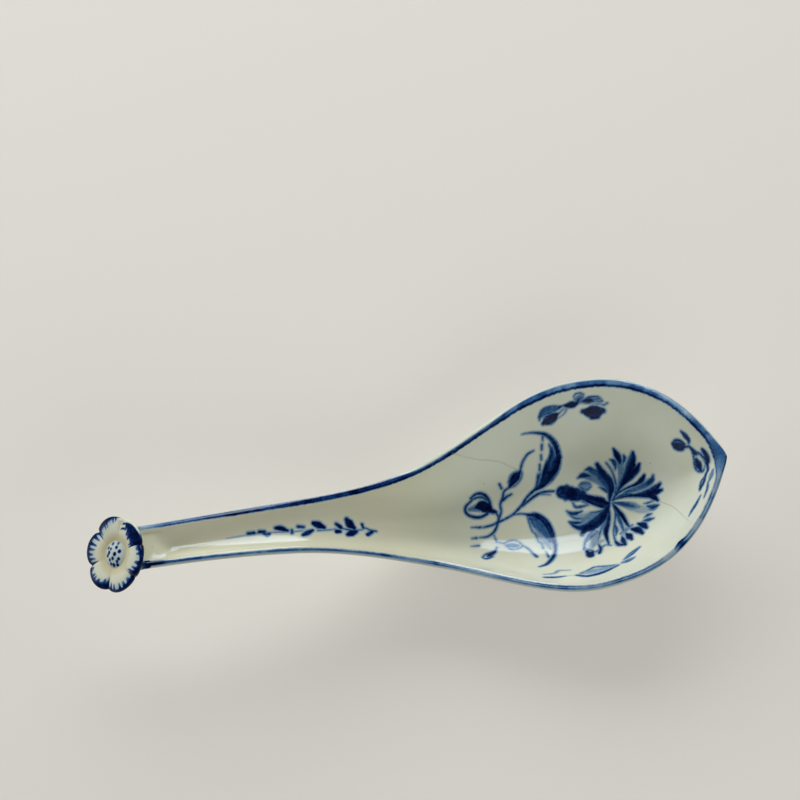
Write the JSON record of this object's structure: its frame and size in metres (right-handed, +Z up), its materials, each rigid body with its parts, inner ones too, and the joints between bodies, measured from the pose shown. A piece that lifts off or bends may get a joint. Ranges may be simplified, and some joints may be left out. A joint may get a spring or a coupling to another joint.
{
  "type": "rice serving spoon",
  "caption": "Porcelain serving spoon with a pointed oval bowl, an arched handle with a shallow channel, and a flower terminal, painted in blue with floral sprays.",
  "frame": {"origin": "centre of the spoon's footprint, on the surface it stands on", "axes": "+X along the spoon from the flower to the pointed lip, +Z up out of the bowl"},
  "size_m": [0.1402, 0.0472, 0.0297],
  "materials": {
    "body_porcelain": "clear glossy glaze over off-white porcelain, with underglaze blue painting inside",
    "petal_porcelain": "clear glossy glaze, petal edges painted in underglaze blue",
    "boss_porcelain": "clear glossy glaze over small blue dots"
  },
  "bodies": {
    "root": {"spoon_body": "body_porcelain", "flower_calyx": "body_porcelain", "petal_1": "petal_porcelain", "petal_2": "petal_porcelain", "petal_3": "petal_porcelain", "petal_4": "petal_porcelain", "petal_5": "petal_porcelain", "petal_6": "petal_porcelain", "flower_boss": "boss_porcelain"}
  },
  "joints": []
}
